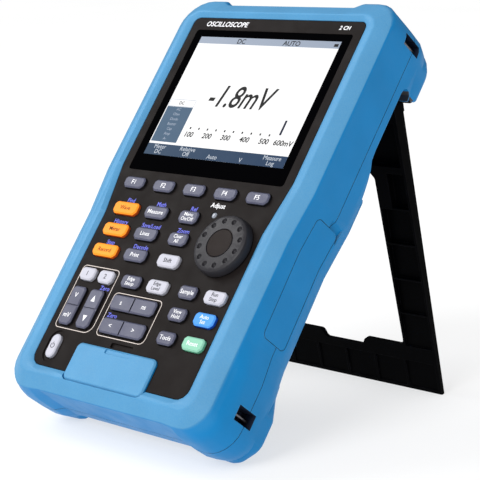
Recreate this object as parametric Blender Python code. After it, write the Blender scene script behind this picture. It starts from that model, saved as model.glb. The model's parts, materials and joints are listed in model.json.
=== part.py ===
"""Handheld digital oscilloscope standing on its folding rear stand.

Every piece is drawn in the instrument's own upright frame, in metres: X to the right seen from
the front, Z up the instrument, Y from the front (negative) to the back (zero).  The empty
"instrument_frame" then leans the whole instrument back until the corner bumpers and the foot of
the open stand both touch the surface.
"""

import math

import bmesh
import bpy
from mathutils import Matrix, Vector

MM = 0.001

# ---------------------------------------------------------------- driving dimensions
HALF_WIDTH = 80.0 * MM
HALF_WAIST = 77.0 * MM
WAIST_TOP = 141.0 * MM
WAIST_BOTTOM = 112.0 * MM
BODY_TOP = 259.3 * MM
BODY_BOTTOM = 1.0 * MM
BUMPER_RISE = 4.6 * MM
SEAM_WIDEN = 0.8 * MM
BODY_FRONT = -53.2 * MM
SEAM_Y = -24.0 * MM
BACK_Y = -4.4 * MM
WALL = 2.6 * MM
GAP = 0.3 * MM
FLOOR_OUTER = -17.9 * MM
FLOOR_INNER = -20.4 * MM

PANEL_FRONT = -51.5 * MM
PANEL_BACK = -49.5 * MM
PANEL_TOP = 247.6 * MM
PANEL_BOTTOM = 14.3 * MM
PANEL_HALF_TOP = 66.6 * MM
PANEL_HALF_LOW = 61.6 * MM
LEDGE = 3.0 * MM

SCREEN_Z = 193.4 * MM
GLASS_Z = 190.4 * MM
GLASS_SIZE = (120.8 * MM, 97.0 * MM)
GLASS_RECESS = 1.3 * MM
SCREEN_WINDOW = (111.0 * MM, 83.8 * MM)

KEY_RISE = 2.0 * MM
KEY_FOOT = PANEL_BACK + 0.3 * MM
KEY_GAP = 0.35 * MM
MAT_FRONT = -48.2 * MM
MAT_BACK = -46.8 * MM
BOARD_FRONT = -42.4 * MM
BOARD_BACK = -40.8 * MM

KNOB_CENTRE = (41.2 * MM, 101.4 * MM)
KNOB_RADIUS = 18.0 * MM
KNOB_RISE = 5.6 * MM
KNOB_DISC = 8.4 * MM
DIMPLE_RING = 13.5 * MM

HINGE_Y = -5.3 * MM
HINGE_Z = 230.6 * MM
STAND_LENGTH = 186.4 * MM
STAND_HALF = 71.1 * MM
STAND_LEG = 23.2 * MM
STAND_OPEN = math.radians(50.5)
STAND_SKIN = 2.6 * MM
STAND_DEPTH_TOP = 8.0 * MM
STAND_DEPTH_FOOT = 2.3 * MM
BAR_START = 157.0 * MM
WINDOW_START = 49.0 * MM
STAND_PITCH = 22.6 * MM
STAND_RIM = 1.4 * MM
STAND_RIB = 0.9 * MM
WELL_HALF = STAND_HALF + 0.8 * MM
BARREL_LENGTH = 22.0 * MM
BARREL_END = STAND_HALF + 4.3 * MM
PIN_SPAN = (61.4 * MM, 77.6 * MM)

CONTACT = (-1.2 * MM, 2.6 * MM)

BLUE = ("overmould_blue", (0.145, 0.42, 0.72, 1.0), 0.55, 0.0)
PANEL_BLACK = ("panel_black", (0.040, 0.034, 0.035, 1.0), 0.45, 0.0)
STAND_BLACK = ("stand_black", (0.012, 0.012, 0.014, 1.0), 0.5, 0.0)
KEY_GREY = ("key_grey", (0.17, 0.165, 0.20, 1.0), 0.5, 0.0)
KEY_ORANGE = ("key_orange", (1.0, 0.33, 0.05, 1.0), 0.45, 0.0)
KEY_WHITE = ("key_white", (0.80, 0.80, 0.86, 1.0), 0.4, 0.0)
KEY_BLUE = ("key_blue", (0.10, 0.42, 0.95, 1.0), 0.4, 0.0)
KEY_GREEN = ("key_green", (0.60, 0.90, 0.74, 1.0), 0.4, 0.0)
GLASS = ("window_glass", (0.01, 0.01, 0.012, 1.0), 0.05, 0.0)
STEEL = ("steel", (0.62, 0.62, 0.64, 1.0), 0.3, 1.0)
BRASS = ("nickel_brass", (0.75, 0.70, 0.60, 1.0), 0.3, 1.0)
BOARD_GREEN = ("board_green", (0.02, 0.18, 0.08, 1.0), 0.5, 0.0)
SILICONE = ("silicone_grey", (0.22, 0.22, 0.24, 1.0), 0.7, 0.0)
CELL = ("battery_wrap", (0.05, 0.07, 0.12, 1.0), 0.5, 0.0)

ARC_STEPS = 4
KEY_STEPS = 1
STRAIGHT = 0.03


# ---------------------------------------------------------------- helpers
def clear_scene():
    for item in list(bpy.data.objects):
        bpy.data.objects.remove(item, do_unlink=True)


def collection(name):
    group = bpy.data.collections.new(name)
    bpy.context.scene.collection.children.link(group)
    return group


def material(spec):
    name, colour, roughness, metallic = spec
    found = bpy.data.materials.get(name)
    if found:
        return found
    made = bpy.data.materials.new(name)
    made.use_nodes = True
    shader = made.node_tree.nodes["Principled BSDF"]
    shader.inputs["Base Color"].default_value = colour
    shader.inputs["Roughness"].default_value = roughness
    shader.inputs["Metallic"].default_value = metallic
    return made


def round_corners(corners, inset=0.0, steps=ARC_STEPS):
    """Points round a closed polygon given as (x, z, radius), moved inward by inset."""
    count = len(corners)
    shifted = []
    for i in range(count):
        before = Vector(corners[i - 1][:2])
        here = Vector(corners[i][:2])
        after = Vector(corners[(i + 1) % count][:2])
        first = (here - before).normalized()
        second = (after - here).normalized()
        normal_a = Vector((first.y, -first.x))
        normal_b = Vector((second.y, -second.x))
        half = normal_a + normal_b
        shifted.append(here + half * (inset / (1.0 + normal_a.dot(normal_b))))
    points = []
    for i in range(count):
        here = shifted[i]
        back = (shifted[i - 1] - here).normalized()
        ahead = (shifted[(i + 1) % count] - here).normalized()
        turn = math.acos(max(-1.0, min(1.0, back.dot(ahead))))
        radius = max(corners[i][2] - inset, 0.3 * MM) if corners[i][2] > 0 else 0.0
        if radius == 0.0:
            points.append(here)
            continue
        limit = 0.48 * min((shifted[i - 1] - here).length, (shifted[(i + 1) % count] - here).length)
        if math.pi - turn < STRAIGHT:
            reach = min(radius, limit)
            start = here + back * reach
            end = here + ahead * reach
            points += [start.lerp(end, step / steps) for step in range(steps + 1)]
            continue
        reach = radius / math.tan(turn / 2)
        if reach > limit:
            reach = limit
            radius = reach * math.tan(turn / 2)
        start = here + back * reach
        end = here + ahead * reach
        centre = here + (back + ahead).normalized() * (radius / math.sin(turn / 2))
        for step in range(steps + 1):
            blend = start.lerp(end, step / steps) - centre
            points.append(centre + blend.normalized() * radius)
    return points


def mirrored(half_corners):
    """A full outline from its right half, listed clockwise from the top centre."""
    left = [(-x, z, r) for x, z, r in reversed(half_corners)]
    return list(half_corners) + left


def loft(name, sections):
    """A closed solid through outlines of equal length; sections are (y, points)."""
    mesh = bpy.data.meshes.new(name)
    build = bmesh.new()
    rings = []
    for y, points in sections:
        rings.append([build.verts.new((p[0], y, p[1])) for p in points])
    for lower, upper in zip(rings, rings[1:]):
        count = len(lower)
        for i in range(count):
            j = (i + 1) % count
            build.faces.new((lower[i], lower[j], upper[j], upper[i]))
    build.faces.new(list(reversed(rings[0])))
    build.faces.new(rings[-1])
    bmesh.ops.recalc_face_normals(build, faces=build.faces)
    build.to_mesh(mesh)
    build.free()
    return bpy.data.objects.new(name, mesh)


def prism(name, corners, y0, y1, inset=0.0, steps=ARC_STEPS):
    points = round_corners(corners, inset, steps)
    return loft(name, [(y0, points), (y1, points)])


def box(name, low, high):
    mesh = bpy.data.meshes.new(name)
    build = bmesh.new()
    middle = [(a + b) / 2 for a, b in zip(low, high)]
    size = [b - a for a, b in zip(low, high)]
    turn = Matrix.Translation(middle) @ Matrix.Diagonal((*size, 1.0))
    bmesh.ops.create_cube(build, size=1.0, matrix=turn)
    build.to_mesh(mesh)
    build.free()
    return bpy.data.objects.new(name, mesh)


def cylinder(name, centre, axis, radius, length, steps=24, radius_end=None):
    mesh = bpy.data.meshes.new(name)
    build = bmesh.new()
    turn = Vector((0, 0, 1)).rotation_difference(Vector(axis)).to_matrix().to_4x4()
    bmesh.ops.create_cone(
        build,
        cap_ends=True,
        segments=steps,
        radius1=radius,
        radius2=radius if radius_end is None else radius_end,
        depth=length,
        matrix=Matrix.Translation(centre) @ turn,
    )
    build.to_mesh(mesh)
    build.free()
    return bpy.data.objects.new(name, mesh)


def turned(name, profile, centre, axis, steps=24):
    """A solid of revolution; profile is (distance along the axis, radius) from end to end."""
    mesh = bpy.data.meshes.new(name)
    build = bmesh.new()
    turn = Vector((0, 0, 1)).rotation_difference(Vector(axis)).to_matrix().to_4x4()
    place = Matrix.Translation(centre) @ turn
    rings = []
    for along, radius in profile:
        ring = []
        for step in range(steps):
            angle = 2 * math.pi * step / steps
            point = Vector((radius * math.cos(angle), radius * math.sin(angle), along))
            ring.append(build.verts.new(place @ point))
        rings.append(ring)
    for lower, upper in zip(rings, rings[1:]):
        for i in range(steps):
            j = (i + 1) % steps
            build.faces.new((lower[i], lower[j], upper[j], upper[i]))
    build.faces.new(list(reversed(rings[0])))
    build.faces.new(rings[-1])
    bmesh.ops.recalc_face_normals(build, faces=build.faces)
    build.to_mesh(mesh)
    build.free()
    return bpy.data.objects.new(name, mesh)


def combine(target, tool, operation):
    """Apply a Boolean of tool on target and drop the tool."""
    cutters.objects.link(tool)
    tool.hide_render = True
    tool.display_type = "WIRE"
    if target.name not in parts.objects:
        parts.objects.link(target)
    step = target.modifiers.new(operation.lower(), "BOOLEAN")
    step.operation = operation
    step.solver = "EXACT"
    step.object = tool
    bpy.context.view_layer.update()
    graph = bpy.context.evaluated_depsgraph_get()
    mesh = bpy.data.meshes.new_from_object(target.evaluated_get(graph))
    target.modifiers.clear()
    target.data = mesh
    bpy.data.objects.remove(tool, do_unlink=True)


def cut(target, *tools):
    for tool in tools:
        combine(target, tool, "DIFFERENCE")


def join(target, *tools):
    for tool in tools:
        combine(target, tool, "UNION")


def one_piece(target):
    """Weld points that a Boolean left closer together than they need to be."""
    build = bmesh.new()
    build.from_mesh(target.data)
    bmesh.ops.remove_doubles(build, verts=build.verts, dist=0.002 * MM)
    bmesh.ops.dissolve_degenerate(build, edges=build.edges, dist=0.002 * MM)
    build.to_mesh(target.data)
    build.free()


def finish(target, spec, pivot=(0.0, 0.0, 0.0), smooth=False):
    """Give a piece its material and put its origin on its pivot, inside the leaning frame."""
    if target.name not in parts.objects:
        parts.objects.link(target)
    one_piece(target)
    target.data.materials.clear()
    target.data.materials.append(material(spec))
    target.data.transform(Matrix.Translation([-p for p in pivot]))
    target.location = pivot
    target.parent = frame
    for face in target.data.polygons:
        face.use_smooth = smooth
    return target


# ---------------------------------------------------------------- outlines
def body_corners(bulge, widen=0.0, tuck=0.0):
    """Outline of the body; bulge lifts the four corner bumpers past the ends and the low sides,
    the top ones most steeply, and tuck draws the low sides in towards the front."""
    side = HALF_WIDTH + widen
    waist = HALF_WAIST + widen
    low_side = waist + 0.7 * bulge - tuck
    top = BODY_TOP + min(2.6 * bulge, BUMPER_RISE)
    low = BODY_BOTTOM - 0.62 * bulge
    top_cut = 10.5 * MM
    low_cut = 10.0 * MM
    return mirrored(
        [
            (49.0 * MM, BODY_TOP, 3 * MM),
            (53.5 * MM, top, 3 * MM),
            (side - top_cut, top, 18 * MM),
            (side, top - top_cut, 18 * MM),
            (side, WAIST_TOP, 20 * MM),
            (waist, WAIST_BOTTOM, 20 * MM),
            (waist + 0.25 * bulge - 0.5 * tuck, 56 * MM, 15 * MM),
            (low_side, 40 * MM, 10 * MM),
            (low_side, low + low_cut, 15 * MM),
            (low_side - low_cut, low, 15 * MM),
            (57.0 * MM, low, 5 * MM),
            (49.0 * MM, BODY_BOTTOM, 5 * MM),
        ]
    )


def body_section(inset, bulge, widen=0.0, tuck=0.0):
    return round_corners(body_corners(bulge, widen, tuck), inset, 3)


def cavity_corners():
    """Outline of the space inside the housings, drawn in behind the four strap slots."""
    slot_wall = HALF_WIDTH - SLOT_DEPTH - 2.4 * MM
    wide = HALF_WIDTH - WALL
    waist = HALF_WAIST - WALL
    return mirrored(
        [
            (slot_wall - 7 * MM, BODY_TOP - WALL, 6 * MM),
            (slot_wall, BODY_TOP - WALL - 7 * MM, 4 * MM),
            (slot_wall, SLOT_HIGH_Z[0] - 3 * MM, 2 * MM),
            (wide, SLOT_HIGH_Z[0] - 8 * MM, 2 * MM),
            (wide, WAIST_TOP, 12 * MM),
            (waist, WAIST_BOTTOM, 12 * MM),
            (waist, SLOT_LOW_Z[1] + 8 * MM, 2 * MM),
            (slot_wall, SLOT_LOW_Z[1] + 3 * MM, 2 * MM),
            (slot_wall, BODY_BOTTOM + WALL + 8 * MM, 4 * MM),
            (slot_wall - 9 * MM, BODY_BOTTOM + WALL, 6 * MM),
        ]
    )


def panel_corners():
    return mirrored(
        [
            (PANEL_HALF_TOP, PANEL_TOP, 4 * MM),
            (PANEL_HALF_TOP, WAIST_TOP + 3 * MM, 12 * MM),
            (PANEL_HALF_LOW, WAIST_BOTTOM, 12 * MM),
            (PANEL_HALF_LOW, PANEL_BOTTOM, 7 * MM),
        ]
    )


def rectangle(centre, size, radius):
    x, z = centre
    half_x, half_z = size[0] / 2, size[1] / 2
    return [
        (x + half_x, z + half_z, radius),
        (x + half_x, z - half_z, radius),
        (x - half_x, z - half_z, radius),
        (x - half_x, z + half_z, radius),
    ]


# ---------------------------------------------------------------- key layout
ROW_1 = 115.6 * MM
ROW_2 = 101.6 * MM
ROW_3 = 88.0 * MM
ROW_4 = 72.1 * MM
ROW_5 = 58.8 * MM
ROW_6 = 44.6 * MM
SOFT_ROW = 132.4 * MM
SOFT_PITCH = 24.2 * MM
KEY_HIGH = 7.8 * MM

# name, centre x, centre z, width, height, colour
KEYS = [
    ("soft_key_1", -2 * SOFT_PITCH, SOFT_ROW, 16.4 * MM, 7.2 * MM, KEY_GREY),
    ("soft_key_2", -1 * SOFT_PITCH, SOFT_ROW, 16.4 * MM, 7.2 * MM, KEY_GREY),
    ("soft_key_3", 0.0, SOFT_ROW, 16.4 * MM, 7.2 * MM, KEY_GREY),
    ("soft_key_4", 1 * SOFT_PITCH, SOFT_ROW, 16.4 * MM, 7.2 * MM, KEY_GREY),
    ("soft_key_5", 2 * SOFT_PITCH, SOFT_ROW, 16.4 * MM, 7.2 * MM, KEY_GREY),
    ("scope_mode_key", -45.2 * MM, ROW_1, 19.6 * MM, KEY_HIGH, KEY_ORANGE),
    ("meter_mode_key", -45.2 * MM, ROW_2, 19.6 * MM, KEY_HIGH, KEY_ORANGE),
    ("recorder_mode_key", -45.2 * MM, ROW_3, 19.6 * MM, KEY_HIGH, KEY_ORANGE),
    ("measure_key", -20.2 * MM, ROW_1, 17.6 * MM, KEY_HIGH, KEY_GREY),
    ("cursors_key", -20.2 * MM, ROW_2, 17.6 * MM, KEY_HIGH, KEY_GREY),
    ("print_key", -20.2 * MM, ROW_3, 17.6 * MM, KEY_HIGH, KEY_GREY),
    ("menu_key", 5.6 * MM, ROW_1, 14.4 * MM, KEY_HIGH, KEY_GREY),
    ("clear_key", 5.6 * MM, ROW_2, 14.4 * MM, KEY_HIGH, KEY_GREY),
    ("shift_key", 6.2 * MM, ROW_3, 16.2 * MM, KEY_HIGH, KEY_WHITE),
    ("channel_1_key", -49.4 * MM, ROW_4, 12.0 * MM, KEY_HIGH, KEY_WHITE),
    ("channel_2_key", -34.4 * MM, ROW_4, 12.0 * MM, KEY_HIGH, KEY_WHITE),
    ("trigger_setup_key", -13.6 * MM, ROW_4, 15.0 * MM, KEY_HIGH, KEY_GREY),
    ("trigger_level_key", 7.2 * MM, ROW_4, 15.6 * MM, KEY_HIGH, KEY_WHITE),
    ("acquire_key", 30.8 * MM, ROW_4, 13.0 * MM, KEY_HIGH, KEY_GREY),
    ("run_stop_key", 51.0 * MM, ROW_4, 15.0 * MM, KEY_HIGH, KEY_WHITE),
    ("display_key", 30.8 * MM, ROW_5, 13.0 * MM, KEY_HIGH, KEY_GREY),
    ("auto_key", 51.0 * MM, ROW_5, 15.0 * MM, KEY_HIGH, KEY_BLUE),
    ("utility_key", 30.8 * MM, ROW_6, 13.0 * MM, KEY_HIGH, KEY_GREY),
    ("default_key", 51.0 * MM, ROW_6, 15.0 * MM, KEY_HIGH, KEY_GREEN),
]

# name, centre x, centre z, width, height, rocks across the width
ROCKERS = [
    ("volts_rocker", -49.6 * MM, 51.8 * MM, 10.6 * MM, 24.0 * MM, False),
    ("position_rocker", -34.8 * MM, 51.8 * MM, 11.0 * MM, 24.0 * MM, False),
    ("timebase_rocker", -3.6 * MM, ROW_5, 35.0 * MM, 9.2 * MM, True),
    ("horizontal_rocker", -3.6 * MM, ROW_6, 35.0 * MM, 9.2 * MM, True),
]

POWER_CENTRE = (-49.6 * MM, 26.6 * MM)
POWER_SIZE = (7.2 * MM, 14.4 * MM)
LAMP_CENTRE = (22.0 * MM, 119.6 * MM)
LAMP_RADIUS = 1.8 * MM
FLAP_SIZE = (63.0 * MM, 22.6 * MM)
FLAP_CENTRE = (0.8 * MM, 20.8 * MM)
FLAP_BACK = PANEL_BACK - 0.5 * MM
JACK_PITCH = 19.0 * MM
JACK_Z = 20.8 * MM

SLOT_LOW_Z = (16.6 * MM, 25.0 * MM)
SLOT_HIGH_Z = (246.4 * MM, 253.6 * MM)
SLOT_Y = (-33.4 * MM, -18.4 * MM)
SLOT_DEPTH = 9.0 * MM
DOOR_Z = (62.4 * MM, 133.2 * MM)
DOOR_Y = (-37.0 * MM, -17.2 * MM)
DOOR_THICK = 2.2 * MM
BNC_X = 24.0 * MM
BNC_Y = -14.2 * MM
COVER_X = 37.6 * MM
COVER_Z = (78.0 * MM, 168.0 * MM)


def key_corners(centre, size):
    """A key cap outline with its four corners cut away, the lower two more."""
    x, z = centre
    half_x, half_z = size[0] / 2, size[1] / 2
    chop = 1.5 * MM
    low_chop = 2.1 * MM
    return [
        (x + half_x - chop, z + half_z, 1.0 * MM),
        (x + half_x, z + half_z - chop, 1.0 * MM),
        (x + half_x, z - half_z + low_chop, 1.0 * MM),
        (x + half_x - low_chop, z - half_z, 1.0 * MM),
        (x - half_x + low_chop, z - half_z, 1.0 * MM),
        (x - half_x, z - half_z + low_chop, 1.0 * MM),
        (x - half_x, z + half_z - chop, 1.0 * MM),
        (x - half_x + chop, z + half_z, 1.0 * MM),
    ]


def all_key_outlines():
    outlines = [key_corners((x, z), (w, h)) for _, x, z, w, h, _ in KEYS]
    outlines += [key_corners((x, z), (w, h)) for _, x, z, w, h, _ in ROCKERS]
    return outlines


# ---------------------------------------------------------------- housings
def strap_slots():
    """The four strap slots, as cutters reaching in from both sides."""
    tools = []
    for side in (-1, 1):
        for name, (low, high) in (("low", SLOT_LOW_Z), ("high", SLOT_HIGH_Z)):
            edge = HALF_WIDTH + 5 * MM
            inner = HALF_WIDTH - SLOT_DEPTH
            xs = sorted((side * inner, side * edge))
            tools.append(box(f"slot_{name}_{side}", (xs[0], SLOT_Y[0], low), (xs[1], SLOT_Y[1], high)))
    return tools


def jack_positions():
    return [FLAP_CENTRE[0] + index * JACK_PITCH for index in (-1, 0, 1)]


def side_prism(name, low, high, x0, x1, inset=0.0, radius=3.0 * MM):
    """A rounded plate seen from the side; low and high are (y, z) corners."""
    corners = [
        (high[0], high[1], radius),
        (high[0], low[1], radius),
        (low[0], low[1], radius),
        (low[0], high[1], radius),
    ]
    slab = prism(name, corners, x0, x1, inset)
    slab.data.transform(Matrix.Rotation(math.radians(-90), 4, "Z"))
    for vertex in slab.data.vertices:
        x, y, z = vertex.co
        vertex.co = (x, -y, z)
    slab.data.flip_normals()
    return slab


def door_opening():
    """The opening behind the side door, with a finger scoop above it."""
    low = (DOOR_Y[0], DOOR_Z[0])
    high = (DOOR_Y[1], DOOR_Z[1])
    return side_prism("door_opening", low, high, HALF_WAIST - 6 * MM, HALF_WIDTH + 6 * MM, -GAP)


def finger_scoop():
    at = (HALF_WIDTH + 5.2 * MM, (DOOR_Y[1] + SEAM_Y) / 2 - 0.5 * MM, DOOR_Z[1] - 1.0 * MM)
    return cylinder("finger_scoop", at, (0, 1, 0), 7.4 * MM, 11 * MM, 28)


def front_sections():
    """Outer outlines of the front housing: a narrow rim, a broad bevel to a firm edge, and the wall to the seam."""
    steps = [
        # behind the rim, drawn in by, bumper rise, widened by, low sides tucked in by
        (0.0, 8.2, 0.2, 1.3, 1.4),
        (0.3, 7.1, 0.2, 1.3, 1.4),
        (4.5, 0.5, 0.7, 1.3, 1.0),
        (5.1, 0.1, 0.9, 1.3, 1.0),
        (6.2, 0.0, 1.3, 1.3, 0.9),
        (8.2, 0.0, 2.0, 1.2, 0.7),
        (12.2, 0.0, 3.6, 1.1, 0.2),
        (17.2, 0.0, 4.6, 1.0, 0.0),
    ]
    sections = []
    for behind, inset, rise, widen, tuck in steps:
        outline = body_section(inset * MM, rise * MM, widen * MM, tuck * MM)
        sections.append((BODY_FRONT + behind * MM, outline))
    sections.append((SEAM_Y - GAP / 2, body_section(0.0, BUMPER_RISE, SEAM_WIDEN)))
    return sections


def rear_sections():
    """Outer outlines of the rear housing, from the seam to the back."""
    return [
        (SEAM_Y + GAP / 2, body_section(0.0, BUMPER_RISE, SEAM_WIDEN)),
        (-15.0 * MM, body_section(0.4 * MM, BUMPER_RISE, SEAM_WIDEN)),
        (-9.0 * MM, body_section(2.2 * MM, BUMPER_RISE, SEAM_WIDEN)),
        (-5.6 * MM, body_section(4.6 * MM, BUMPER_RISE, SEAM_WIDEN)),
        (BACK_Y, body_section(7.4 * MM, BUMPER_RISE, SEAM_WIDEN)),
    ]


def front_housing():
    shell = loft("front_housing", front_sections())
    inner = [
        (PANEL_BACK + LEDGE, round_corners(cavity_corners(), 4.0 * MM)),
        (BODY_FRONT + 14.0 * MM, round_corners(cavity_corners())),
        (SEAM_Y + 4 * MM, round_corners(cavity_corners())),
    ]
    cut(shell, loft("front_cavity", inner))
    panel = panel_corners()
    slope = [
        (BODY_FRONT - 1 * MM, round_corners(panel, -4.6 * MM)),
        (PANEL_FRONT, round_corners(panel, -GAP)),
    ]
    cut(shell, loft("panel_slope", slope))
    cut(shell, prism("panel_recess", panel, BODY_FRONT - 1 * MM, PANEL_BACK + GAP, -GAP))
    cut(shell, prism("panel_window", panel, BODY_FRONT - 1 * MM, SEAM_Y, LEDGE))
    flap = rectangle(FLAP_CENTRE, FLAP_SIZE, 3.5 * MM)
    cut(shell, prism("flap_recess", flap, BODY_FRONT - 1 * MM, FLAP_BACK + GAP, -GAP))
    for x in jack_positions():
        cut(shell, cylinder("jack_bore", (x, PANEL_BACK, JACK_Z), (0, 1, 0), 6.0 * MM, 12 * MM))
    cut(shell, *strap_slots())
    cut(shell, door_opening(), finger_scoop())
    return finish(shell, BLUE)


def rear_housing():
    shell = loft("rear_housing", rear_sections())
    for side in (-1, 1):
        for top in (True, False):
            join(shell, corner_pad(side, top))
    inner = [
        (SEAM_Y - 4 * MM, round_corners(cavity_corners())),
        (FLOOR_INNER, round_corners(cavity_corners(), 1.0 * MM)),
    ]
    cut(shell, loft("rear_cavity", inner))
    well = rectangle((0.0, 139.0 * MM), (2 * WELL_HALF, 203.0 * MM), 5 * MM)
    cut(shell, prism("stand_well", well, FLOOR_OUTER, 4 * MM))
    cover = rectangle((0.0, sum(COVER_Z) / 2), (2 * COVER_X, COVER_Z[1] - COVER_Z[0]), 4 * MM)
    cut(shell, prism("cover_opening", cover, SEAM_Y - 2 * MM, FLOOR_OUTER + 2 * MM, -GAP))
    for side in (-1, 1):
        room_end = BARREL_END + 0.6 * MM
        room_long = room_end - WELL_HALF + 1.0 * MM
        room = (side * (room_end - room_long / 2), HINGE_Y, HINGE_Z)
        bore_end = PIN_SPAN[1] + 0.3 * MM
        bore = (side * (bore_end - 6 * MM), HINGE_Y, HINGE_Z)
        cut(
            shell,
            side_recess(side),
            cylinder("barrel_room", room, (1, 0, 0), 5.2 * MM, room_long, 28),
            cylinder("pin_bore", bore, (1, 0, 0), 2.2 * MM, 12 * MM, 20),
            cylinder("bnc_bore", (side * BNC_X, BNC_Y, BODY_TOP), (0, 0, 1), 6.3 * MM, 40 * MM),
        )
    cut(shell, *strap_slots())
    cut(shell, door_opening(), finger_scoop())
    return finish(shell, BLUE)


def side_recess(side):
    """The cutaway in one side wall beside the stand, ending in a notch under the top bumper."""
    profile = [
        (4.0, 160.0),
        (-10.4, 160.0),
        (-11.4, 165.0),
        (-12.8, 170.2),
        (-15.3, 176.2),
        (-17.7, 180.7),
        (-18.3, 187.0),
        (-18.3, 223.3),
        (-17.7, 226.5),
        (-15.7, 228.4),
        (-12.5, 228.6),
        (-9.8, 227.6),
        (-8.4, 224.6),
        (-7.0, 225.2),
        (-6.4, 227.3),
        (4.0, 227.3),
    ]
    mesh = bpy.data.meshes.new("side_recess")
    build = bmesh.new()
    rings = []
    for x in sorted((side * (WELL_HALF - 1.0 * MM), side * (HALF_WIDTH + 8 * MM))):
        rings.append([build.verts.new((x, y * MM, z * MM)) for y, z in profile])
    for i in range(len(profile)):
        j = (i + 1) % len(profile)
        build.faces.new((rings[0][i], rings[0][j], rings[1][j], rings[1][i]))
    build.faces.new(list(reversed(rings[0])))
    build.faces.new(rings[1])
    bmesh.ops.recalc_face_normals(build, faces=build.faces)
    build.to_mesh(mesh)
    build.free()
    return bpy.data.objects.new("side_recess", mesh)


def corner_pad(side, top):
    """One rear corner bumper: a raised pad that also carries the stand's pin at the top."""
    if top:
        edge = HALF_WIDTH - 1.0 * MM
        crown = BODY_TOP + 3.6 * MM
        slope = 13.0 * MM
        outline = [
            (edge - slope, crown, 18 * MM),
            (edge, crown - slope, 18 * MM),
            (edge, 227.0 * MM, 3 * MM),
            (67.0 * MM, 227.0 * MM, 2 * MM),
            (66.0 * MM, 236 * MM, 3 * MM),
            (48.0 * MM, 236 * MM, 5 * MM),
            (48.0 * MM, crown, 4 * MM),
        ]
    else:
        outline = [
            (72.8 * MM, 52.0 * MM, 4 * MM),
            (74.2 * MM, 42.0 * MM, 8 * MM),
            (79.2 * MM, 29.0 * MM, 8 * MM),
            (79.2 * MM, 12.0 * MM, 12 * MM),
            (69.0 * MM, 1.2 * MM, 9 * MM),
            (50.0 * MM, 2.0 * MM, 6 * MM),
            (54.0 * MM, 44.0 * MM, 4 * MM),
            (66.0 * MM, 52.0 * MM, 4 * MM),
        ]
    if side < 0:
        outline = [(-x, z, r) for x, z, r in reversed(outline)]
    tag = "high" if top else "low"
    sections = [
        (-12 * MM, round_corners(outline)),
        (-4.0 * MM, round_corners(outline)),
        (-1.2 * MM, round_corners(outline, 1.4 * MM)),
        (0.0, round_corners(outline, 4.0 * MM)),
    ]
    return loft(f"pad_{tag}_{side}", sections)


# ---------------------------------------------------------------- front panel pieces
def keypad_panel():
    plate = prism("keypad_panel", panel_corners(), PANEL_FRONT, PANEL_BACK)
    glass = rectangle((0.0, GLASS_Z), GLASS_SIZE, 1.5 * MM)
    window = rectangle((0.0, SCREEN_Z), SCREEN_WINDOW, 1.0 * MM)
    cut(plate, prism("glass_recess", glass, PANEL_FRONT - 1 * MM, PANEL_FRONT + GLASS_RECESS, -GAP))
    cut(plate, prism("screen_window", window, PANEL_FRONT - 1 * MM, PANEL_BACK + 1 * MM))
    ring = rectangle(POWER_CENTRE, (POWER_SIZE[0] + 5.2 * MM, POWER_SIZE[1] + 5.2 * MM), 6 * MM)
    cut(plate, prism("power_ring", ring, PANEL_FRONT - 1 * MM, PANEL_FRONT + 0.7 * MM))
    finger = rectangle((1.2 * MM, 34.6 * MM), (17.0 * MM, 3.0 * MM), 0.8 * MM)
    cut(plate, prism("finger_slot", finger, PANEL_FRONT - 1 * MM, PANEL_FRONT + 1.2 * MM))
    for outline in all_key_outlines():
        hole = prism("key_hole", outline, PANEL_FRONT - 1 * MM, PANEL_BACK + 1 * MM, -KEY_GAP, KEY_STEPS)
        cut(plate, hole)
    power = rectangle(POWER_CENTRE, POWER_SIZE, POWER_SIZE[0] / 2)
    cut(plate, prism("power_hole", power, PANEL_FRONT - 1 * MM, PANEL_BACK + 1 * MM, -KEY_GAP))
    flap = rectangle(FLAP_CENTRE, FLAP_SIZE, 3.5 * MM)
    cut(plate, prism("flap_recess", flap, PANEL_FRONT - 1 * MM, FLAP_BACK + GAP, -GAP))
    middle = (PANEL_FRONT + PANEL_BACK) / 2
    knob_at = (KNOB_CENTRE[0], middle, KNOB_CENTRE[1])
    lamp_at = (LAMP_CENTRE[0], middle, LAMP_CENTRE[1])
    cut(plate, cylinder("shaft_hole", knob_at, (0, 1, 0), 4.4 * MM, 6 * MM))
    cut(plate, cylinder("lamp_hole", lamp_at, (0, 1, 0), LAMP_RADIUS + 0.3 * MM, 6 * MM, 16))
    for jack_x in jack_positions():
        cut(plate, cylinder("jack_hole", (jack_x, middle, JACK_Z), (0, 1, 0), 6.0 * MM, 6 * MM))
    return finish(plate, PANEL_BLACK)


def display_window():
    outline = rectangle((0.0, GLASS_Z), GLASS_SIZE, 1.5 * MM)
    front = PANEL_FRONT + 0.1 * MM
    pane = prism("display_window", outline, front, PANEL_FRONT + GLASS_RECESS - 0.2 * MM)
    return finish(pane, GLASS)


def display_module():
    outline = rectangle((0.0, SCREEN_Z), (122 * MM, 96 * MM), 2 * MM)
    return finish(prism("display_module", outline, PANEL_BACK + GAP, -43.4 * MM), STEEL)


def key_cap(name, outline):
    top = PANEL_FRONT - KEY_RISE
    sections = [
        (KEY_FOOT, round_corners(outline, 0.0, KEY_STEPS)),
        (top + 0.7 * MM, round_corners(outline, 0.0, KEY_STEPS)),
        (top, round_corners(outline, 0.8 * MM, KEY_STEPS)),
    ]
    return loft(name, sections)


def keys():
    for name, x, z, width, height, spec in KEYS:
        cap = key_cap(name, key_corners((x, z), (width, height)))
        finish(cap, spec, (x, KEY_FOOT, z))


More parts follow.
